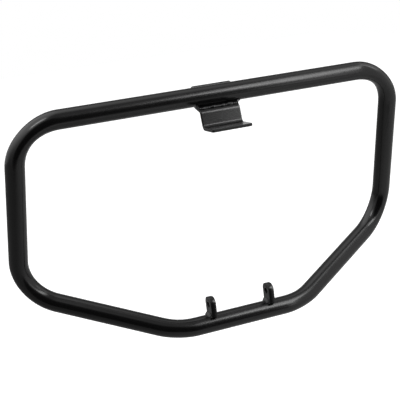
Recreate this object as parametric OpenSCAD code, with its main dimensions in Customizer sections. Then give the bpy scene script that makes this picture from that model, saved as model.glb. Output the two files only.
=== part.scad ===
// Motorcycle crash bar: one bent tube loop with a formed top bracket and two bolt lugs.
// Millimetres. X is across the motorcycle, Y points forward, Z points up.
// The origin is the middle of the two flange holes, on the underside of the flange.

/* [Tube] */
// Outside diameter of the tube
tube_od = 32; // [26:1:36]
// Wall thickness of the tube
tube_wall = 2.5; // [1.5:0.5:4]
// Diameter of the drain hole under the bottom run
drain_d = 6; // [3:0.5:8]

/* [Loop] */
// Distance between the sharp corners of the top run, on the centreline
top_span = 670; // [560:5:760]
// Distance between the sharp corners at the knees, the widest place
knee_span = 706; // [600:2:800]
// Distance between the sharp corners of the bottom run
bottom_span = 232; // [200:2:300]
// Height from the bottom run to the top run, centre to centre
loop_height = 386; // [340:1:440]
// Height of the knees above the bottom run
knee_height = 93; // [70:1:130]
// How far the knees stand forward of the top and bottom runs
knee_forward = 110; // [60:1:150]

/* [Tube bends] */
// Centreline radius of the two top bends
top_bend_r = 75; // [55:1:95]
// Centreline radius of the two knee bends
knee_bend_r = 75; // [55:1:90]
// Centreline radius of the two bottom bends
bottom_bend_r = 120; // [60:5:150]
// How much the tube's radius draws in where it is bent
bend_draw = 0.1; // [0.05:0.05:0.5]

/* [Top bracket] */
// Thickness of the bracket plate
plate_t = 5; // [3:0.5:6]
// Width of the bracket along the top run
bracket_w = 70; // [62:1:90]
// Angle at which the saddle's lip ends, up from the front of the tube
lip_angle = 56; // [30:1:70]
// Fall of the strap under the tube, from level
strap_fall = 15; // [8:1:25]
// Distance from the tube's centre back to the corner of the upper fold
upper_fold_back = 15; // [13:0.5:20]
// Lean of the web, from upright
web_lean = 11; // [0:1:20]
// Distance from the tube's centre down to the flange's underside
flange_drop = 54; // [48:1:80]
// Distance from the tube's centre back to the flange's free edge
flange_reach = 62.5; // [58:0.5:80]
// Centreline radius of the upper fold
upper_fold_r = 6; // [5:0.5:8]
// Centreline radius of the lower fold
lower_fold_r = 8; // [6:0.5:10]
// Radius of the plate's outer corners
plate_corner_r = 3; // [1:0.5:5]
// How much each side of the plate thins where it is formed, also the saddle's fit on the tube
form_thin = 0.05; // [0.02:0.01:0.15]

/* [Flange holes] */
// Diameter of the two flange holes, for M8 bolts
flange_hole_d = 9; // [7:0.5:11]
// Distance between the two flange holes
flange_hole_pitch = 44; // [30:1:50]
// Distance from the flange's free edge to the holes
flange_hole_edge = 17.5; // [12:0.5:19]

/* [Bottom lugs] */
// Distance between the middles of the two lugs
lug_span = 108.5; // [80:0.5:130]
// Thickness of each lug
lug_t = 9.5; // [6:0.5:12]
// Depth of each lug, front to back
lug_depth = 26.5; // [22:0.5:28]
// Distance of the lug's middle behind the tube's centre
lug_back = 4; // [0:0.5:5]
// Height of the lug's flat foot above the bottom run's centre, sunk into the tube's top
lug_foot = 14.5; // [13.5:0.5:15.5]
// Height of the lug hole above the bottom run's centre
lug_hole_height = 34.5; // [32:0.5:45]
// Metal between the middle of the lug hole and the lug's top
lug_top = 13.5; // [11:0.5:16]
// Radius of the lug's top corners
lug_corner_r = 11; // [4:0.5:12]
// Diameter of the lug hole, for M10 bolts
lug_hole_d = 10.4; // [8.4:0.2:12.4]

/* [Welds] */
// Radius of the weld bead along the saddle's lip
lip_bead_r = 2.4; // [1.5:0.1:3]
// Radius of the cap of the weld between tube and strap
strap_bead_r = 2.8; // [2:0.1:3.5]
// Distance of the cap's middle behind the tube's centre
strap_bead_back = 11.5; // [10:0.5:13]
// Distance of the cap's middle below the tube's centre
strap_bead_drop = 19.4; // [19:0.1:20]
// Leg of the weld round the bracket's right end
right_end_leg = 7; // [3:0.5:8]
// Leg of the weld round the bracket's left end
left_end_leg = 2.5; // [2:0.5:8]
// Leg of the welds along the sides of each lug
lug_weld_leg = 4; // [2:0.5:5]
// Radius of the weld beads under the front and back of each lug's foot
lug_bead_r = 2.4; // [2:0.1:2.8]
// Slope of the tube's top at the middle of those beads, from level
lug_bead_slope = 35; // [33:1:38]

/* [Hidden] */
$fn = 64;
tube_r = tube_od / 2;
bore_r = tube_r - tube_wall;
half_w = bracket_w / 2;
// A straight length laps this far into the bend beside it, so that the two are one solid
tube_lap = 1;
plate_lap = 0.3;
// Welds are drawn from this far inside the tube, which is then cut out of them
weld_root = 1;
strap_face_root = 1.2;
// The welds round the bracket's ends are drawn from this far inside those ends
fillet_lap = 1;
// How far the lip weld and the strap weld's cap and face stay inside the bracket's ends
lip_bead_inset = 1;
strap_cap_inset = 2;
strap_face_inset = 0.5;
// How far the strap weld's face sits above the middle of its cap, where they join
strap_face_rise = 0.2;
// How far the weld at the right end rises past the strap's plate
right_end_rise = 1.5;

// Place of the top and bottom runs, seen from the flange holes
run_y = flange_reach - flange_hole_edge;
top_z = flange_drop;
bottom_z = top_z - loop_height;
knee_z = bottom_z + knee_height;

// Sharp corners of the loop's centreline, in order round the loop, with the bend at each
corners = [
    [-top_span / 2, run_y, top_z],
    [top_span / 2, run_y, top_z],
    [knee_span / 2, run_y + knee_forward, knee_z],
    [bottom_span / 2, run_y, bottom_z],
    [-bottom_span / 2, run_y, bottom_z],
    [-knee_span / 2, run_y + knee_forward, knee_z]
];
bend_rs = [top_bend_r, top_bend_r, knee_bend_r, bottom_bend_r, bottom_bend_r, knee_bend_r];
last = len(corners) - 1;

function unit(v) = v / norm(v);
function before(i) = i == 0 ? last : i - 1;
function after(i) = i == last ? 0 : i + 1;
// Direction of the run that reaches corner i, and of the run that leaves it
function dir_in(i) = unit(corners[i] - corners[before(i)]);
function dir_out(i) = unit(corners[after(i)] - corners[i]);
function turn(u, w) = acos(u * w);
function tangent_len(r, u, w) = r * tan(turn(u, w) / 2);
// Where the bend at corner i starts and ends
function bend_start(i) = corners[i] - dir_in(i) * tangent_len(bend_rs[i], dir_in(i), dir_out(i));
function bend_end(i) = corners[i] + dir_out(i) * tangent_len(bend_rs[i], dir_in(i), dir_out(i));
// Matrix that carries the local axes x, y, z to the given directions and the origin to p
function axes_at(x, y, z, p) = [
    [x[0], y[0], z[0], p[0]],
    [x[1], y[1], z[1], p[1]],
    [x[2], y[2], z[2], p[2]],
    [0, 0, 0, 1]
];

// Round bar of radius r that follows the whole loop
module loop_bar(r) {
    for (i = [0 : last]) {
        straight_bar(bend_end(i), bend_start(after(i)), r);
        bent_bar(i, r - bend_draw);
    }
}

module straight_bar(a, b, r) {
    along = unit(b - a);
    side = unit(cross([0, 1, 0.3], along));
    multmatrix(axes_at(side, cross(along, side), along, a - along * tube_lap))
        cylinder(r = r, h = norm(b - a) + 2 * tube_lap);
}

module bent_bar(i, r) {
    u = dir_in(i);
    w = dir_out(i);
    inward = unit(w - u * (u * w));
    centre = bend_start(i) + inward * bend_rs[i];
    multmatrix(axes_at(-inward, u, cross(-inward, u), centre))
        rotate_extrude(angle = turn(u, w))
            translate([bend_rs[i], 0]) circle(r = r);
}

// Bar along X through the middle of the top run or the bottom run
module along_x(r, x0, x1) {
    translate([x0, 0, 0]) rotate([0, 90, 0]) cylinder(r = r, h = x1 - x0);
}

module at_top_run() {
    translate([0, run_y, top_z]) children();
}

module at_bottom_run() {
    translate([0, run_y, bottom_z]) children();
}

module tube_loop() {
    color([0.05, 0.05, 0.055])
    difference() {
        loop_bar(tube_r);
        loop_bar(bore_r);
        translate([0, run_y, bottom_z - tube_r - 1]) cylinder(d = drain_d, h = tube_r);
    }
}

// The bracket's side profile is drawn with the tube's centre at the origin, forward to the
// right and up to the top: a saddle round the tube, a strap under it, a web and a flange.
saddle_r = tube_r + plate_t / 2;
saddle_end = -90 + strap_fall;
strap_start = saddle_r * [cos(saddle_end), sin(saddle_end)];
strap_dir = [-cos(strap_fall), -sin(strap_fall)];
web_dir = [-sin(web_lean), -cos(web_lean)];
flange_dir = [-1, 0];
upper_corner = strap_start + strap_dir * ((strap_start[0] + upper_fold_back) / cos(strap_fall));
flange_mid = -flange_drop + plate_t / 2;
lower_corner = upper_corner + web_dir * ((upper_corner[1] - flange_mid) / cos(web_lean));
flange_end = [-flange_reach, flange_mid];

// Flat length of plate from a to b, lapping into the form at a, and at b unless that is an edge
module plate_flat(a, b, lap_b = plate_lap) {
    d = b - a;
    translate(a) rotate(atan2(d[1], d[0]))
        translate([-plate_lap, -plate_t / 2]) square([norm(d) + plate_lap + lap_b, plate_t]);
}

// Curved length of plate about c, from angle a0 up to angle a1
module plate_arc(c, r, a0, a1) {
    reach = 2 * (r + plate_t);
    mid = (a0 + a1) / 2;
    translate(c) intersection() {
        difference() {
            circle(r = r + plate_t / 2 - form_thin);
            circle(r = r - plate_t / 2 + form_thin);
        }
        polygon([
            [0, 0],
            reach * [cos(a0), sin(a0)],
            reach * [cos(mid), sin(mid)],
            reach * [cos(a1), sin(a1)]
        ]);
    }
}

function fold_start(c, r, u, w) = c - u * tangent_len(r, u, w);
function fold_end(c, r, u, w) = c + w * tangent_len(r, u, w);

// Middle of the fold's arc: to the left of the direction u for side = 1, right for -1
function fold_centre(c, r, u, w, side) = fold_start(c, r, u, w) + side * r * [-u[1], u[0]];

module bracket_profile() {
    upper_centre = fold_centre(upper_corner, upper_fold_r, strap_dir, web_dir, 1);
    lower_centre = fold_centre(lower_corner, lower_fold_r, web_dir, flange_dir, -1);
    plate_arc([0, 0], saddle_r, saddle_end, lip_angle);
    plate_flat(strap_start, fold_start(upper_corner, upper_fold_r, strap_dir, web_dir));
    plate_arc(upper_centre, upper_fold_r, 90 + strap_fall, 180 - web_lean);
    plate_flat(
        fold_end(upper_corner, upper_fold_r, strap_dir, web_dir),
        fold_start(lower_corner, lower_fold_r, web_dir, flange_dir)
    );
    plate_arc(lower_centre, lower_fold_r, -90, -web_lean);
    plate_flat(fold_end(lower_corner, lower_fold_r, web_dir, flange_dir), flange_end, 0);
}

// Cuts the corner of a plate that lies across Z, at the origin, leaving a round of radius r
module corner_cut(r, h) {
    difference() {
        translate([-r, -r, -h / 2]) cube([r + 1, r + 1, h]);
        translate([-r, -r, -h]) cylinder(r = r, h = 2 * h);
    }
}

module bracket_solid() {
    difference() {
        translate([-half_w, 0, 0]) rotate([90, 0, 90])
            linear_extrude(height = bracket_w) bracket_profile();
        for (side = [-1, 1]) {
            // Rounded corners of the flange's free edge
            translate([0, -flange_reach, flange_mid]) mirror([side < 0 ? 1 : 0, 0, 0])
                translate([half_w, 0, 0]) mirror([0, 1, 0])
                    corner_cut(plate_corner_r, 3 * plate_t);
            // Rounded corners of the saddle's lip
            rotate([lip_angle, 0, 0]) mirror([side < 0 ? 1 : 0, 0, 0])
                translate([half_w, saddle_r, 0]) rotate([90, 0, 0])
                    corner_cut(plate_corner_r, 3 * plate_t);
        }
    }
}

module upper_bracket() {
    color([0.06, 0.06, 0.065])
    difference() {
        at_top_run() bracket_solid();
        for (side = [-1, 1])
            translate([side * flange_hole_pitch / 2, 0, -plate_t])
                cylinder(d = flange_hole_d, h = 3 * plate_t);
    }
}

// Rounded bead of radius r along X, from x0 to x1
module bead(r, x0, x1) {
    along_x(r, x0, x1);
    for (x = [x0, x1]) translate([x, 0, 0]) sphere(r = r);
}

// Fillet weld that runs round the outside of the tube at x, with its leg towards side
module ring_fillet(x, side, leg, height, a0, a1) {
    rotate([a0, 0, 0]) rotate([90, 0, 90])
        rotate_extrude(angle = a1 - a0)
            polygon([
                [tube_r - weld_root, x - side * fillet_lap],
                [tube_r + height, x - side * fillet_lap],
                [tube_r + height, x],
                [tube_r, x + side * leg],
                [tube_r - weld_root, x + side * leg]
            ]);
}

// Weld bead between the saddle's lip and the top of the tube
module lip_weld() {
    bead_at = tube_r + lip_bead_r / 3;
    turn_up = lip_angle + lip_bead_r * 40 / tube_r;
    color([0.07, 0.07, 0.07])
    at_top_run() difference() {
        rotate([turn_up, 0, 0]) translate([0, bead_at, 0])
            bead(
                lip_bead_r,
                -half_w + lip_bead_r + lip_bead_inset,
                half_w - lip_bead_r - lip_bead_inset
            );
        along_x(tube_r, -bracket_w, bracket_w);
        bracket_solid();
    }
}

// Weld under the back of the tube: a face from the tube down to a round cap on the strap, with
// returns round both ends of the strap
module strap_weld() {
    turn_down = -121;
    root = -118;
    cap = [-strap_bead_back, -strap_bead_drop];
    color([0.07, 0.07, 0.07])
    at_top_run() difference() {
        union() {
            translate([0, cap[0], cap[1]])
                bead(strap_bead_r, -half_w + strap_cap_inset, half_w - strap_cap_inset);
            translate([-half_w + strap_face_inset, 0, 0]) rotate([90, 0, 90])
                linear_extrude(height = bracket_w - 2 * strap_face_inset)
                    polygon([
                        (tube_r - strap_face_root) * [cos(root), sin(root)],
                        cap + 0.98 * strap_bead_r * [cos(-root), sin(-root)],
                        cap,
                        [-tube_r * 0.4, cap[1] + strap_face_rise]
                    ]);
            ring_fillet(half_w, 1, right_end_leg, plate_t + right_end_rise, turn_down, saddle_end + 20);
            ring_fillet(-half_w, -1, left_end_leg, plate_t / 2, turn_down, saddle_end + 20);
        }
        along_x(tube_r, -bracket_w, bracket_w);
        bracket_solid();
    }
}

// One lug at the middle of the bottom run, its flat foot sunk a little into the tube's top
module lug_solid() {
    top = lug_hole_height + lug_top;
    difference() {
        translate([-lug_t / 2, -lug_back, 0]) rotate([90, 0, 90]) linear_extrude(height = lug_t) {
            translate([-lug_depth / 2, lug_foot])
                square([lug_depth, top - lug_corner_r - lug_foot]);
            translate([-lug_depth / 2 + lug_corner_r, lug_foot])
                square([lug_depth - 2 * lug_corner_r, top - lug_foot]);
            for (side = [-1, 1])
                translate([side * (lug_depth / 2 - lug_corner_r), top - lug_corner_r])
                    circle(r = lug_corner_r);
        }
        along_x(tube_r, -lug_t, lug_t);
        translate([0, -lug_back, lug_hole_height]) along_x(lug_hole_d / 2, -lug_t, lug_t);
    }
}

module lug(side) {
    color([0.06, 0.06, 0.065])
    at_bottom_run() translate([side * lug_span / 2, 0, 0]) lug_solid();
}

// Weld round a lug's foot: fillets along both sides, and beads under the foot's two ends
module lug_weld(side) {
    a_front = 90 - lug_bead_slope;
    a_back = 90 + lug_bead_slope;
    color([0.07, 0.07, 0.07])
    at_bottom_run() translate([side * lug_span / 2, 0, 0]) difference() {
        union() {
            for (s = [-1, 1])
                translate([s * lug_t / 2, 0, 0]) rotate([a_front, 0, 0]) rotate([90, 0, 90])
                    rotate_extrude(angle = a_back - a_front)
                        polygon([
                            [tube_r - weld_root, 0],
                            [tube_r + lug_weld_leg * 1.3, 0],
                            [tube_r, s * lug_weld_leg],
                            [tube_r - weld_root, s * lug_weld_leg]
                        ]);
            for (a = [a_front, a_back])
                rotate([a, 0, 0]) translate([0, tube_r + lug_bead_r / 4, 0])
                    bead(lug_bead_r, -lug_t / 2, lug_t / 2);
        }
        along_x(tube_r, -2 * lug_t, 2 * lug_t);
        lug_solid();
    }
}

module lug_left() { lug(-1); }
module lug_right() { lug(1); }
module lug_weld_left() { lug_weld(-1); }
module lug_weld_right() { lug_weld(1); }

tube_loop();
upper_bracket();
lip_weld();
strap_weld();
lug_left();
lug_right();
lug_weld_left();
lug_weld_right();
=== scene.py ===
"""Looks of a motorcycle crash bar: a bent tube loop with a formed bracket, two lugs and their welds.

Sizes of the part are millimetres in its own frame, as in part.scad: X across, Y forward, Z up.
Camera, lamps, studio and floor are in metres and degrees.
"""

import math
from contextlib import contextmanager

import bmesh
import bpy
from mathutils import Matrix, Vector, noise


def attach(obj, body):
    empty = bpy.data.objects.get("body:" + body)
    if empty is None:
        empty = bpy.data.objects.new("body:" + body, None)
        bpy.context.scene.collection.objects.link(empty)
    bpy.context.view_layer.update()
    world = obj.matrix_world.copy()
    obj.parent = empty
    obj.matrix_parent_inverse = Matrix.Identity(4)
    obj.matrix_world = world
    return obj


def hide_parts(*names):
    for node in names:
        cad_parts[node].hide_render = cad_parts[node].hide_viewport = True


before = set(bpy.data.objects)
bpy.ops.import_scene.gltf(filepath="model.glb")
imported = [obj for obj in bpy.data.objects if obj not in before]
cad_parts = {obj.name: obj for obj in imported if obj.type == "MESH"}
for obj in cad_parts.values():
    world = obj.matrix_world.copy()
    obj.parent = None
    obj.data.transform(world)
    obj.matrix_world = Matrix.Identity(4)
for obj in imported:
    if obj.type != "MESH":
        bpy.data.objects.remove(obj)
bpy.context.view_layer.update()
# One millimetre in metres
MM = 0.001

# Tube, as in part.scad
TUBE_R = 16.0
WALL = 2.5
DRAIN_R = 3.0
TOP_Z = 54.0
BOTTOM_Z = -332.0
KNEE_Z = -239.0
RUN_Y = 45.0
KNEE_Y = 155.0
TOP_X = 335.0
KNEE_X = 353.0
BOTTOM_X = 116.0
TOP_BEND_R = 75.0
KNEE_BEND_R = 75.0
BOTTOM_BEND_R = 120.0

# How far the section of the tube flattens in the middle of each bend, as a share of its radius
TOP_FLAT = 0.14
KNEE_FLAT = 0.047
BOTTOM_FLAT = 0.04
# How many times less it widens than it flattens
FLAT_TO_WIDE = 6

# Bracket, as in part.scad
PLATE = 5.0
BRACKET_W = 70.0
LIP_ANGLE = 56.0
STRAP_FALL = 15.0
UPPER_FOLD_BACK = 15.0
WEB_LEAN = 11.0
FLANGE_DROP = 54.0
FLANGE_REACH = 62.5
UPPER_FOLD_R = 6.0
LOWER_FOLD_R = 8.0
PLATE_CORNER_R = 3.0
FLANGE_HOLE_R = 4.5
FLANGE_HOLE_X = 22.0
FLANGE_HOLE_EDGE = 17.5

# Lugs, as in part.scad
LUG_X = 54.25
LUG_T = 9.5
LUG_DEPTH = 26.5
LUG_BACK = 4.0
LUG_FOOT_UP = 14.5
LUG_HOLE_UP = 34.5
LUG_TOP_UP = 48.0
LUG_CORNER_R = 11.0
LUG_HOLE_R = 5.2
LUG_SINK = 0.6

# Radius to which the plates' cut edges are broken
PLATE_EDGE = 0.8
LUG_EDGE = 0.7

# Distances in metres below which two points of a flat plate, or of a bent one, count as one
SAME_FLAT = 1e-7
SAME_BENT = 1e-6

# Loop: corners of the centreline in order, with the radius and the flattening of each bend
CORNERS = [
    (Vector((-TOP_X, RUN_Y, TOP_Z)), TOP_BEND_R, TOP_FLAT),
    (Vector((TOP_X, RUN_Y, TOP_Z)), TOP_BEND_R, TOP_FLAT),
    (Vector((KNEE_X, KNEE_Y, KNEE_Z)), KNEE_BEND_R, KNEE_FLAT),
    (Vector((BOTTOM_X, RUN_Y, BOTTOM_Z)), BOTTOM_BEND_R, BOTTOM_FLAT),
    (Vector((-BOTTOM_X, RUN_Y, BOTTOM_Z)), BOTTOM_BEND_R, BOTTOM_FLAT),
    (Vector((-KNEE_X, KNEE_Y, KNEE_Z)), KNEE_BEND_R, KNEE_FLAT),
]


def eased(share):
    """Smooth step from 0 to 1."""
    return share * share * (3 - 2 * share)


def loop_stations(degrees_a_ring, straight_step):
    """Rings round the loop as (centre, direction, inward side of the bend or None, flattening)."""
    bends = []
    for i, (corner, radius, flat) in enumerate(CORNERS):
        into = (corner - CORNERS[i - 1][0]).normalized()
        out = (CORNERS[(i + 1) % len(CORNERS)][0] - corner).normalized()
        turn = into.angle(out)
        reach = radius * math.tan(turn / 2)
        bends.append((corner - into * reach, corner + out * reach, into, out, turn, radius, flat))
    stations = []
    for i, (start, end, into, out, turn, radius, flat) in enumerate(bends):
        inward = (out - into * into.dot(out)).normalized()
        centre = start + inward * radius
        rings = max(4, round(math.degrees(turn) / degrees_a_ring))
        for k in range(rings + 1):
            angle = turn * k / rings
            place = centre - inward * (radius * math.cos(angle)) + into * (radius * math.sin(angle))
            along = into * math.cos(angle) + inward * math.sin(angle)
            side = inward * math.cos(angle) - into * math.sin(angle)
            share = flat * eased(min(1, 2 * k / rings)) * eased(min(1, 2 - 2 * k / rings))
            stations.append((place, along, side, share))
        following = bends[(i + 1) % len(bends)][0]
        steps = max(2, round((following - end).length / straight_step))
        for k in range(1, steps):
            stations.append((end.lerp(following, k / steps), out, None, 0.0))
    return stations


def swept_rings(stations, radius, count):
    """Rings of points of a tube along the stations, with no twist where the loop closes."""
    across = stations[0][1].orthogonal().normalized()
    frames = []
    for place, along, side, share in stations:
        across = (across - along * across.dot(along)).normalized()
        frames.append(across.copy())
    first = stations[0][1]
    back = (across - first * across.dot(first)).normalized()
    twist = math.atan2(first.dot(back.cross(frames[0])), back.dot(frames[0]))
    rings = []
    for n, (place, along, side, share) in enumerate(stations):
        u = frames[n]
        v = along.cross(u)
        untwist = twist * n / len(stations)
        ring = []
        for k in range(count):
            angle = 2 * math.pi * k / count + untwist
            d = u * math.cos(angle) + v * math.sin(angle)
            point = d * radius
            if side is not None and share > 0:
                other = along.cross(side)
                flat_r = radius * (1 - share)
                wide_r = radius + TUBE_R * share / FLAT_TO_WIDE
                point = side * (d.dot(side) * flat_r) + other * (d.dot(other) * wide_r)
            ring.append(place + point)
        rings.append(ring)
    return rings


def shell(bm, rings, inside_out):
    """Closed skin over rings that run round a loop."""
    made = [[bm.verts.new(p * MM) for p in ring] for ring in rings]
    count = len(rings[0])
    for a, b in zip(made, made[1:] + made[:1]):
        for k in range(count):
            j = (k + 1) % count
            corners = (a[k], a[j], b[j], b[k])
            bm.faces.new(corners[::-1] if inside_out else corners)


def linked(name, data):
    """New object in the scene for a mesh, curve, lamp or camera."""
    obj = bpy.data.objects.new(name, data)
    bpy.context.scene.collection.objects.link(obj)
    return obj


def new_object(name, bm):
    """New object in the scene from a bmesh, which is freed."""
    mesh = bpy.data.meshes.new(name)
    bm.to_mesh(mesh)
    bm.free()
    return linked(name, mesh)


@contextmanager
def editing(obj):
    """Bmesh of an object's mesh, written back to it at the end."""
    bm = bmesh.new()
    bm.from_mesh(obj.data)
    yield bm
    bm.to_mesh(obj.data)
    bm.free()


def smooth(obj, sharp_degrees):
    """Smooth shading, with edges over the given angle kept sharp."""
    limit = math.radians(sharp_degrees)
    with editing(obj) as bm:
        for face in bm.faces:
            face.smooth = True
        for edge in bm.edges:
            edge.smooth = not (edge.is_manifold and edge.calc_face_angle(0) > limit)


def baked(obj):
    """New mesh of an object as its modifiers or its curve settings shape it."""
    bpy.context.view_layer.update()
    graph = bpy.context.evaluated_depsgraph_get()
    return bpy.data.meshes.new_from_object(obj.evaluated_get(graph))


def apply_modifiers(obj):
    """Bakes the object's modifiers into its own mesh."""
    mesh = baked(obj)
    obj.modifiers.clear()
    obj.data = mesh


def cut(obj, tool):
    """Takes the tool's volume out of the object."""
    boolean = obj.modifiers.new("cut", "BOOLEAN")
    boolean.operation = "DIFFERENCE"
    boolean.solver = "EXACT"
    boolean.object = tool
    apply_modifiers(obj)
    bpy.data.objects.remove(tool)


def make_tube():
    """Hollow loop with its drain hole under the bottom run."""
    outside = swept_rings(loop_stations(degrees_a_ring=2.5, straight_step=12), TUBE_R, count=80)
    bore = swept_rings(loop_stations(degrees_a_ring=5, straight_step=24), TUBE_R - WALL, count=40)
    bm = bmesh.new()
    shell(bm, outside, inside_out=False)
    shell(bm, bore, inside_out=True)
    tube = new_object("bent_tube", bm)
    bm = bmesh.new()
    low = Matrix.Translation(Vector((0, RUN_Y, BOTTOM_Z - TUBE_R)) * MM)
    bmesh.ops.create_cone(
        bm,
        cap_ends=True,
        segments=32,
        radius1=DRAIN_R * MM,
        radius2=DRAIN_R * MM,
        depth=TUBE_R * MM,
        matrix=low,
    )
    cut(tube, new_object("drain_cutter", bm))
    smooth(tube, sharp_degrees=40)
    return tube


def clean_up(obj, same):
    """Joins points that lie closer together than the given distance, and turns all faces outward."""
    with editing(obj) as bm:
        bmesh.ops.remove_doubles(bm, verts=bm.verts, dist=same)
        bmesh.ops.recalc_face_normals(bm, faces=bm.faces)


def flat_blank(name, outline, holes, thickness, edge_r):
    """Flat plate with broken edges: outline and holes are closed lists of (x, y) in millimetres."""
    curve = bpy.data.curves.new(name + "_outline", "CURVE")
    curve.dimensions = "2D"
    curve.fill_mode = "BOTH"
    for points in [outline] + holes:
        spline = curve.splines.new("POLY")
        spline.points.add(len(points) - 1)
        for target, (x, y) in zip(spline.points, points):
            target.co = (x * MM, y * MM, 0, 1)
        spline.use_cyclic_u = True
    curve.extrude = (thickness / 2 - edge_r) * MM
    curve.bevel_depth = edge_r * MM
    curve.bevel_resolution = 3
    curve.offset = -edge_r * MM
    source = linked(name + "_outline", curve)
    mesh = baked(source)
    bpy.data.objects.remove(source)
    obj = linked(name, mesh)
    clean_up(obj, SAME_FLAT)
    return obj


def slice_mesh(obj, normal, places):
    """Cuts the mesh's faces along parallel planes, so that it can be bent or shaded finely."""
    with editing(obj) as bm:
        for place in places:
            everything = bm.verts[:] + bm.edges[:] + bm.faces[:]
            at = Vector(normal) * place * MM
            bmesh.ops.bisect_plane(bm, geom=everything, dist=SAME_FLAT, plane_co=at, plane_no=normal)


def quarter(cx, cy, r, first, steps, turn=90):
    """Points of a quarter circle round (cx, cy) from the angle first on, clockwise if turn is -90."""
    points = []
    for k in range(steps + 1):
        a = math.radians(first + turn * k / steps)
        points.append((cx + r * math.cos(a), cy + r * math.sin(a)))
    return points


def rounded_box(x, y0, y1, r):
    """Outline of a rectangle from -x to x and y0 to y1 with rounded corners."""
    points = []
    corners = [(x - r, y1 - r, 0), (r - x, y1 - r, 90), (r - x, y0 + r, 180), (x - r, y0 + r, 270)]
    for cx, cy, first in corners:
        points += quarter(cx, cy, r, first, steps=6)
    return points


def circle(x, y, r, count=48):
    """Outline of a round hole."""
    angles = [2 * math.pi * k / count for k in range(count)]
    return [(x + r * math.cos(a), y + r * math.sin(a)) for a in angles]


def polar(r, degrees):
    """Vector of length r at an angle."""
    a = math.radians(degrees)
    return Vector((r * math.cos(a), r * math.sin(a)))


def bracket_path():
    """Middle line of the bracket's plate from lip to flange edge: lengths with a function for each.

    Points are (forward, up) from the middle of the top run, and each function gives the point and
    the outward side of the plate there.
    """
    saddle_r = TUBE_R + PLATE / 2
    saddle_end = STRAP_FALL - 90
    strap_start = polar(saddle_r, saddle_end)
    strap = -polar(1, STRAP_FALL)
    web = Vector((-math.sin(math.radians(WEB_LEAN)), -math.cos(math.radians(WEB_LEAN))))
    flange = Vector((-1, 0))
    upper = strap_start + strap * ((strap_start.x + UPPER_FOLD_BACK) / math.cos(math.radians(STRAP_FALL)))
    flange_mid = PLATE / 2 - FLANGE_DROP
    lower = upper + web * ((upper.y - flange_mid) / math.cos(math.radians(WEB_LEAN)))
    free_edge = Vector((-FLANGE_REACH, flange_mid))
    parts = []

    def arc(centre, r, a0, a1, away):
        """Adds an arc; its outward side faces away from the centre, or towards it where away is -1."""
        def at(share):
            radial = polar(1, a0 + (a1 - a0) * share)
            return centre + radial * r, radial * away
        parts.append((math.radians(abs(a1 - a0)) * r, at))

    def straight(a, b, outward):
        """Adds a straight length."""
        def at(share):
            return a.lerp(b, share), outward
        parts.append(((b - a).length, at))

    def fold_reach(r, u, w):
        """Distance from a fold's corner to where its arc starts."""
        return r * math.tan(u.angle(w) / 2)

    arc(Vector((0, 0)), saddle_r, LIP_ANGLE, saddle_end, 1)
    strap_out = Vector((-strap.y, strap.x))
    upper_reach = fold_reach(UPPER_FOLD_R, strap, web)
    lower_reach = fold_reach(LOWER_FOLD_R, web, flange)
    straight(strap_start, upper - strap * upper_reach, strap_out)
    upper_centre = upper - strap * upper_reach + strap_out * UPPER_FOLD_R
    arc(upper_centre, UPPER_FOLD_R, 90 + STRAP_FALL, 180 - WEB_LEAN, -1)
    web_out = Vector((-web.y, web.x))
    straight(upper + web * upper_reach, lower - web * lower_reach, web_out)
    lower_centre = lower - web * lower_reach - web_out * LOWER_FOLD_R
    arc(lower_centre, LOWER_FOLD_R, -WEB_LEAN, -90, 1)
    straight(lower + flange * lower_reach, free_edge, Vector((0, -1)))
    return parts


def make_bracket():
    """Flat blank bent along the bracket's path; the flange's cut edge is marked for the coat."""
    # Slices across the plate, and the last one's distance from its sides
    slice_step = 10
    last_slice = 2.0
    # The cut edge lies this near to the flange's end and this far inside the plate's two faces
    cut_edge_depth = 0.6
    cut_edge_inset = 0.05
    parts = bracket_path()
    total = sum(length for length, at in parts)
    outline = rounded_box(BRACKET_W / 2, 0, total, PLATE_CORNER_R)
    hole_y = total - FLANGE_HOLE_EDGE
    holes = [circle(side * FLANGE_HOLE_X, hole_y, FLANGE_HOLE_R) for side in (-1, 1)]
    blank = flat_blank("formed_bracket", outline, holes, PLATE, PLATE_EDGE)
    slice_mesh(blank, (0, 1, 0), range(1, int(total)))
    outer = BRACKET_W / 2 - last_slice
    inner = int(outer) // slice_step * slice_step
    slice_mesh(blank, (1, 0, 0), [-outer, *range(-inner, inner + 1, slice_step), outer])
    rim = blank.data.attributes.new("cut_edge", "FLOAT", "POINT")
    for vert in blank.data.vertices:
        # Across the plate, along it from the lip, and through it
        x, s, t = vert.co / MM
        on_rim = s > total - cut_edge_depth and abs(t) < PLATE / 2 - cut_edge_inset
        rim.data[vert.index].value = 1.0 if on_rim else 0.0
        rest = max(0.0, s)
        for length, at in parts:
            if rest <= length or at is parts[-1][1]:
                break
            rest -= length
        point, outward = at(rest / length)
        point = point + outward * t
        vert.co = Vector((x, RUN_Y + point.x, TOP_Z + point.y)) * MM
    clean_up(blank, SAME_BENT)
    smooth(blank, sharp_degrees=50)
    return blank


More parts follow.
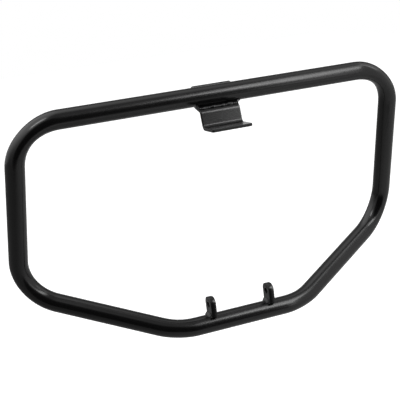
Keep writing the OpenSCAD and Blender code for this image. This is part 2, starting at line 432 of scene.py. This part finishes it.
def make_lug(name, side):
    """Flat bar with round top corners; its flat foot is hollowed for the bottom run, with a small lap."""
    front = LUG_BACK + LUG_DEPTH / 2
    back = LUG_BACK - LUG_DEPTH / 2
    r = LUG_CORNER_R
    foot_r = TUBE_R - LUG_SINK
    foot_steps = 8
    slice_step = 3
    points = quarter(r - front, LUG_TOP_UP - r, r, 180, steps=12, turn=-90)
    points += quarter(-back - r, LUG_TOP_UP - r, r, 90, steps=12, turn=-90)
    points.append((-back, LUG_FOOT_UP))
    start = math.degrees(math.asin(LUG_FOOT_UP / foot_r))
    for k in range(foot_steps + 1):
        foot = polar(foot_r, start + (180 - 2 * start) * k / foot_steps)
        points.append((foot.x, foot.y))
    points.append((-front, LUG_FOOT_UP))
    hole = circle(-LUG_BACK, LUG_HOLE_UP, LUG_HOLE_R)
    lug = flat_blank(name, points, [hole], LUG_T, LUG_EDGE)
    slice_mesh(lug, (0, 1, 0), range(math.ceil(LUG_FOOT_UP), int(LUG_TOP_UP), slice_step))
    for vert in lug.data.vertices:
        y, z, x = vert.co / MM
        vert.co = Vector((side * LUG_X + x, RUN_Y + y, BOTTOM_Z + z)) * MM
    clean_up(lug, SAME_BENT)
    smooth(lug, sharp_degrees=50)
    return lug


# Welds: size of the remeshed grid, and how far the bead stays inside its solid's skin
WELD_GRID = 0.35
WELD_INSET = 0.1
# Ripples: lag towards their outer edge, how uneven their pitch is, and the noise scale of that per metre
RIPPLE_LAG = 0.25
RIPPLE_UNREST = 0.6
RIPPLE_GRAIN = 90
# Mean height of a ripple, taken off so that the ripples add as much as they take away
RIPPLE_MEAN = 0.64
# Noise scale of the lumps per metre
LUMP_GRAIN = 160


def make_weld(name, node, middle, turns_at, pitch, ripple, lump, seed, puddles):
    """Weld bead grown from its CAD solid: puddles added, remeshed finely, then rippled by the torch.

    The middle is (x, z) of the run or lug that the weld is on. Within turns_at of that x the bead runs
    along the tube, and beyond it round the tube. A puddle is (x, back, down, half length, radius, rise).
    """
    bm = bmesh.new()
    bm.from_mesh(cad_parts[node].data)
    for x, back, down, half, radius, rise in puddles:
        place = Matrix.Translation(Vector((x, RUN_Y - back, middle[1] - down)) * MM)
        tilt = Matrix.Rotation(-math.radians(rise), 4, "Y")
        size = Matrix.Diagonal((half * MM, radius * MM, radius * MM, 1))
        bmesh.ops.create_icosphere(bm, subdivisions=3, radius=1, matrix=place @ tilt @ size)
    bead = new_object(name, bm)
    remesh = bead.modifiers.new("remesh", "REMESH")
    remesh.mode = "VOXEL"
    remesh.voxel_size = WELD_GRID * MM
    relax = bead.modifiers.new("relax", "SMOOTH")
    relax.factor = 0.5
    relax.iterations = 3
    apply_modifiers(bead)
    # Each weld takes its noise from another place
    shift = Vector((seed, seed * 1.7, -seed))
    normals = [v.normal.copy() for v in bead.data.vertices]
    for vert, normal in zip(bead.data.vertices, normals):
        x, y, z = vert.co / MM
        x -= middle[0]
        y -= RUN_Y
        z -= middle[1]
        out = math.hypot(y, z) - TUBE_R
        travel = x if abs(x) < turns_at else TUBE_R * math.atan2(z, y)
        unrest = RIPPLE_UNREST * noise.noise(vert.co * RIPPLE_GRAIN + shift)
        phase = (travel + RIPPLE_LAG * out) / pitch + unrest
        wave = abs(math.sin(math.pi * phase)) - RIPPLE_MEAN
        swell = noise.noise(vert.co * LUMP_GRAIN + shift)
        vert.co += normal * (ripple * wave + lump * swell - WELD_INSET) * MM
    for polygon in bead.data.polygons:
        polygon.use_smooth = True
    return bead


def mapped(tree, value, source, target, interpolation="LINEAR"):
    """Output of a new node that moves a value from the source range to the target range."""
    found = tree.nodes.new("ShaderNodeMapRange")
    found.interpolation_type = interpolation
    found.inputs["From Min"].default_value, found.inputs["From Max"].default_value = source
    found.inputs["To Min"].default_value, found.inputs["To Max"].default_value = target
    tree.links.new(value, found.inputs["Value"])
    return found.outputs["Result"]


def by_ray(tree, for_others, for_camera, output):
    """Links one shader to the output for the camera's own rays, and another one for all others."""
    rays = tree.nodes.new("ShaderNodeLightPath")
    choose = tree.nodes.new("ShaderNodeMixShader")
    tree.links.new(rays.outputs["Is Camera Ray"], choose.inputs["Fac"])
    tree.links.new(for_others, choose.inputs[1])
    tree.links.new(for_camera, choose.inputs[2])
    tree.links.new(choose.outputs["Shader"], tree.nodes[output].inputs["Surface"])


# Powder coat: how much rougher a cut edge is, and the depth in metres of the orange peel
CUT_EDGE_ROUGHER = 0.28
PEEL_DEPTH = 0.00004
# Noise scales, per metre, of the clouds in its black and in its gloss, and of the orange peel
BLACK_CLOUDS = 45
GLOSS_CLOUDS = 28
PEEL_GRAIN = 520
# What the clouds do to the black and to the roughness, and the part of the noise's range they use
BLACK_SPREAD = (0.8, 1.25)
ROUGH_SPREAD = (0.88, 1.14)
NOISE_RANGE = (0.3, 0.7)
# The dark clouds keep a trace of blue
DARK_BLUE = 0.85


def powder_coat(name, base, roughness, peel, seed):
    """Gloss black powder coat: orange peel, and gloss and black that vary a little in clouds."""
    material = bpy.data.materials.new(name)
    material.use_nodes = True
    nodes = material.node_tree.nodes
    links = material.node_tree.links
    shader = nodes["Principled BSDF"]
    place = nodes.new("ShaderNodeTexCoord")

    def texture(scale, detail, rough):
        found = nodes.new("ShaderNodeTexNoise")
        found.noise_dimensions = "4D"
        found.inputs["W"].default_value = seed
        found.inputs["Scale"].default_value = scale
        found.inputs["Detail"].default_value = detail
        found.inputs["Roughness"].default_value = rough
        links.new(place.outputs["Object"], found.inputs["Vector"])
        return found.outputs["Fac"]

    colour = nodes.new("ShaderNodeMix")
    colour.data_type = "RGBA"
    dark, light = (base * share for share in BLACK_SPREAD)
    colour.inputs["A"].default_value = (dark, dark, base * DARK_BLUE, 1)
    colour.inputs["B"].default_value = (light, light, light, 1)
    links.new(texture(BLACK_CLOUDS, detail=3, rough=0.55), colour.inputs["Factor"])
    links.new(colour.outputs["Result"], shader.inputs["Base Color"])
    cut_edge = nodes.new("ShaderNodeAttribute")
    cut_edge.attribute_name = "cut_edge"
    gloss = nodes.new("ShaderNodeMath")
    gloss.operation = "MULTIPLY_ADD"
    links.new(cut_edge.outputs["Fac"], gloss.inputs[0])
    gloss.inputs[1].default_value = CUT_EDGE_ROUGHER
    clouds = texture(GLOSS_CLOUDS, detail=4, rough=0.6)
    spread = [roughness * share for share in ROUGH_SPREAD]
    links.new(mapped(material.node_tree, clouds, NOISE_RANGE, spread), gloss.inputs[2])
    links.new(gloss.outputs["Value"], shader.inputs["Roughness"])
    bump = nodes.new("ShaderNodeBump")
    bump.inputs["Strength"].default_value = peel
    bump.inputs["Distance"].default_value = PEEL_DEPTH
    links.new(texture(PEEL_GRAIN, detail=2, rough=0.5), bump.inputs["Height"])
    links.new(bump.outputs["Normal"], shader.inputs["Normal"])
    shader.inputs["IOR"].default_value = 1.5
    return material


coats = {
    "coated_tube": powder_coat("coat_tube", base=0.0025, roughness=0.2, peel=0.3, seed=1.0),
    "coated_plate": powder_coat("coat_plate", base=0.003, roughness=0.2, peel=0.25, seed=2.0),
    "coated_weld": powder_coat("coat_weld", base=0.003, roughness=0.13, peel=0.3, seed=3.0),
}


def finish_piece(obj, node, slot):
    """Gives a piece its coat, hangs it under the root body and hides the CAD node it takes the place of.
    """
    obj.data.materials.clear()
    obj.data.materials.append(coats[slot])
    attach(obj, "root")
    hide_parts(node)


finish_piece(make_tube(), "tube_loop", "coated_tube")
finish_piece(make_bracket(), "upper_bracket", "coated_plate")
finish_piece(make_lug("lug_plate_left", -1), "lug_left", "coated_plate")
finish_piece(make_lug("lug_plate_right", 1), "lug_right", "coated_plate")
# Puddles of the weld under the strap, as the torch was moved on: x, back, down, half length, radius, rise
STRAP_PUDDLES = [
    (-25.6, 12.6, 19.8, 5.8, 3.6, 18),
    (-9.2, 12.0, 19.2, 7.0, 3.8, 5),
    (7.2, 12.0, 19.2, 6.6, 3.8, 8),
    (18.6, 11.8, 18.9, 5.4, 3.8, -2),
]
# Beads: name, node, middle, turns_at, pitch, ripple, lump, seed and puddles of make_weld
WELDS = [
    ("lip_bead", "lip_weld", (0, TOP_Z), BRACKET_W, 2.8, 0.3, 0.25, 11.0, []),
    ("strap_bead", "strap_weld", (0, TOP_Z), BRACKET_W / 2, 3.4, 0.3, 0.6, 23.0, STRAP_PUDDLES),
    ("lug_bead_left", "lug_weld_left", (-LUG_X, BOTTOM_Z), LUG_T / 2, 3.0, 0.4, 0.7, 37.0, []),
    ("lug_bead_right", "lug_weld_right", (LUG_X, BOTTOM_Z), LUG_T / 2, 3.0, 0.4, 0.7, 53.0, []),
]
for name, node, *settings in WELDS:
    finish_piece(make_weld(name, node, *settings), node, "coated_weld")

# Camera in metres and degrees, from the fit of the tube's outline
CAMERA_AT = Vector((-0.56589, -1.40657, 0.21021))
CAMERA_HEADING = 19.612
CAMERA_PITCH = -11.976
CAMERA_ROLL = -7.232


def place_camera():
    """Camera at its place, turned by heading, then pitch, then roll."""
    heading, pitch, roll = (math.radians(a) for a in (CAMERA_HEADING, CAMERA_PITCH, CAMERA_ROLL))
    flat = math.cos(pitch)
    view = Vector((math.sin(heading) * flat, math.cos(heading) * flat, math.sin(pitch)))
    level = view.cross(Vector((0, 0, 1))).normalized()
    up = level.cross(view)
    right = level * math.cos(roll) + up * math.sin(roll)
    top = up * math.cos(roll) - level * math.sin(roll)
    data = bpy.data.cameras.new("camera")
    data.lens = 85
    data.sensor_width = 36
    data.clip_start = 0.05
    camera = linked("camera", data)
    camera.matrix_world = Matrix(
        (
            (right.x, top.x, -view.x, CAMERA_AT.x),
            (right.y, top.y, -view.y, CAMERA_AT.y),
            (right.z, top.z, -view.z, CAMERA_AT.z),
            (0, 0, 0, 1),
        )
    )
    bpy.context.scene.camera = camera


place_camera()
bpy.context.scene.view_settings.view_transform = "Standard"

# Middle of the loop, which the lamps face, and how far away they hang
MIDDLE = Vector((0, 0.09, -0.14))
LAMP_DISTANCE = 3.0
# Lamps: azimuth, elevation, width, height and roll in degrees, and radiance.
# The key lamps stand close together to the camera's right and make one uneven light.
LAMPS = {
    "key_low": (151, 17.5, 7, 16, 0, 5.0),
    "key_middle": (149.8, 29.5, 15.5, 13, -12, 5.2),
    "key_top": (139.8, 41, 17, 13, -42, 4.9),
    "key_edge": (155, 34, 5, 14, -12, 2.6),
    "key_end": (125, 50, 14, 9, -42, 2.0),
    "key_strip": (149.5, -4, 8, 24, -4, 1.4),
    "left_softbox": (234, 52, 25, 12, 41, 5.2),
    "side_panel": (90, 38, 34, 34, 0, 0.35),
    "side_strip": (104.5, 35, 8, 30, 0, 2.2),
}


def toward(azimuth, elevation):
    """Direction at an azimuth clockwise from +Y, seen from above, and an elevation, in degrees."""
    a, e = math.radians(azimuth), math.radians(elevation)
    return Vector((math.sin(a) * math.cos(e), math.cos(a) * math.cos(e), math.sin(e)))


def softbox(name, azimuth, elevation, width, height, roll, radiance):
    """Rectangular lamp that faces the loop; its width and height are angles as the loop sees them."""
    data = bpy.data.lights.new(name, "AREA")
    data.shape = "RECTANGLE"
    data.size = 2 * LAMP_DISTANCE * math.tan(math.radians(width / 2))
    data.size_y = 2 * LAMP_DISTANCE * math.tan(math.radians(height / 2))
    data.energy = radiance * math.pi * data.size * data.size_y
    away = toward(azimuth, elevation)
    turn = (-away).to_track_quat("-Z", "Y").to_matrix() @ Matrix.Rotation(math.radians(roll), 3, "Z")
    lamp = linked(name, data)
    lamp.matrix_world = Matrix.Translation(MIDDLE + away * LAMP_DISTANCE) @ turn.to_4x4()


for name, settings in LAMPS.items():
    softbox(name, *settings)

# Studio: its brightness all round, then areas that replace it one after another.
# Each area has an azimuth, an elevation, an inner and an outer angle, and a brightness.
STUDIO_LEVEL = 0.72
STUDIO = [
    (295, 60, 12, 55, 1.68),
    (30, 12, 25, 60, 0.2),
    (22, 8, 4, 12, 0.85),
    (262, -25, 15, 42, 0.33),
    (160, 50, 15, 30, 0.34),
    (195, -6, 36, 51, 0.03),
]


def make_studio():
    """World that the coat sees as a graded studio and the camera sees as plain white."""
    world = bpy.data.worlds.new("studio")
    bpy.context.scene.world = world
    world.use_nodes = True
    tree = world.node_tree
    nodes = tree.nodes
    links = tree.links

    def area(azimuth, elevation, inner, outer):
        """Mask that is 1 within the inner angle of a direction and 0 outside the outer one."""
        direction = nodes.new("ShaderNodeTexCoord").outputs["Generated"]
        dot = nodes.new("ShaderNodeVectorMath")
        dot.operation = "DOT_PRODUCT"
        dot.inputs[1].default_value = toward(azimuth, elevation)
        links.new(direction, dot.inputs[0])
        fade = [math.cos(math.radians(angle)) for angle in (outer, inner)]
        return mapped(tree, dot.outputs["Value"], fade, (0, 1), "SMOOTHSTEP")

    base = nodes.new("ShaderNodeValue")
    base.outputs["Value"].default_value = STUDIO_LEVEL
    level = base.outputs["Value"]
    for azimuth, elevation, inner, outer, brightness in STUDIO:
        mix = nodes.new("ShaderNodeMix")
        mix.data_type = "FLOAT"
        links.new(level, mix.inputs["A"])
        mix.inputs["B"].default_value = brightness
        links.new(area(azimuth, elevation, inner, outer), mix.inputs["Factor"])
        level = mix.outputs["Result"]
    graded = nodes["Background"]
    graded.inputs["Color"].default_value = (1, 1, 1, 1)
    links.new(level, graded.inputs["Strength"])
    plain = nodes.new("ShaderNodeBackground")
    plain.inputs["Color"].default_value = (1, 1, 1, 1)
    by_ray(tree, graded.outputs["Background"], plain.outputs["Background"], "World Output")


make_studio()

# Floor, well below the part, which hangs as it is mounted: height, half its side and its middle's Y
FLOOR_Z = -0.75
FLOOR_HALF = 8
FLOOR_Y = 7.4
# Its grey falls off to the left between two places in X, a painted shade, as the left leg shows it from
# below
SHADE_FALLOFF_X = (-0.7, 0.3)
SHADE_FALLOFF_GREY = (0.18, 0.42)
# The camera sees it pale and lifted up to plain white, with the part's shadow still on it
FLOOR_SEEN = 0.8
FLOOR_LIFT = 0.5


def make_floor():
    """Square floor, grey with painted shade to the left for the coat, and white to the camera."""
    bm = bmesh.new()
    place = Matrix.Translation((0, FLOOR_Y, FLOOR_Z))
    bmesh.ops.create_grid(bm, x_segments=1, y_segments=1, size=FLOOR_HALF, matrix=place)
    floor = new_object("floor", bm)
    paint = bpy.data.materials.new("floor_paint")
    paint.use_nodes = True
    tree = paint.node_tree
    nodes = tree.nodes
    links = tree.links
    spot = nodes.new("ShaderNodeTexCoord")
    split = nodes.new("ShaderNodeSeparateXYZ")
    links.new(spot.outputs["Object"], split.inputs["Vector"])
    matte = nodes["Principled BSDF"]
    # Painted shade: the floor's grey darkens towards the left
    links.new(mapped(tree, split.outputs["X"], SHADE_FALLOFF_X, SHADE_FALLOFF_GREY), matte.inputs["Base Color"])
    matte.inputs["Roughness"].default_value = 0.8
    pale = nodes.new("ShaderNodeBsdfDiffuse")
    pale.inputs["Color"].default_value = (FLOOR_SEEN, FLOOR_SEEN, FLOOR_SEEN, 1)
    lift = nodes.new("ShaderNodeEmission")
    lift.inputs["Strength"].default_value = FLOOR_LIFT
    lifted = nodes.new("ShaderNodeAddShader")
    links.new(pale.outputs["BSDF"], lifted.inputs[0])
    links.new(lift.outputs["Emission"], lifted.inputs[1])
    by_ray(tree, matte.outputs["BSDF"], lifted.outputs["Shader"], "Material Output")
    floor.data.materials.append(paint)
    return floor


make_floor()
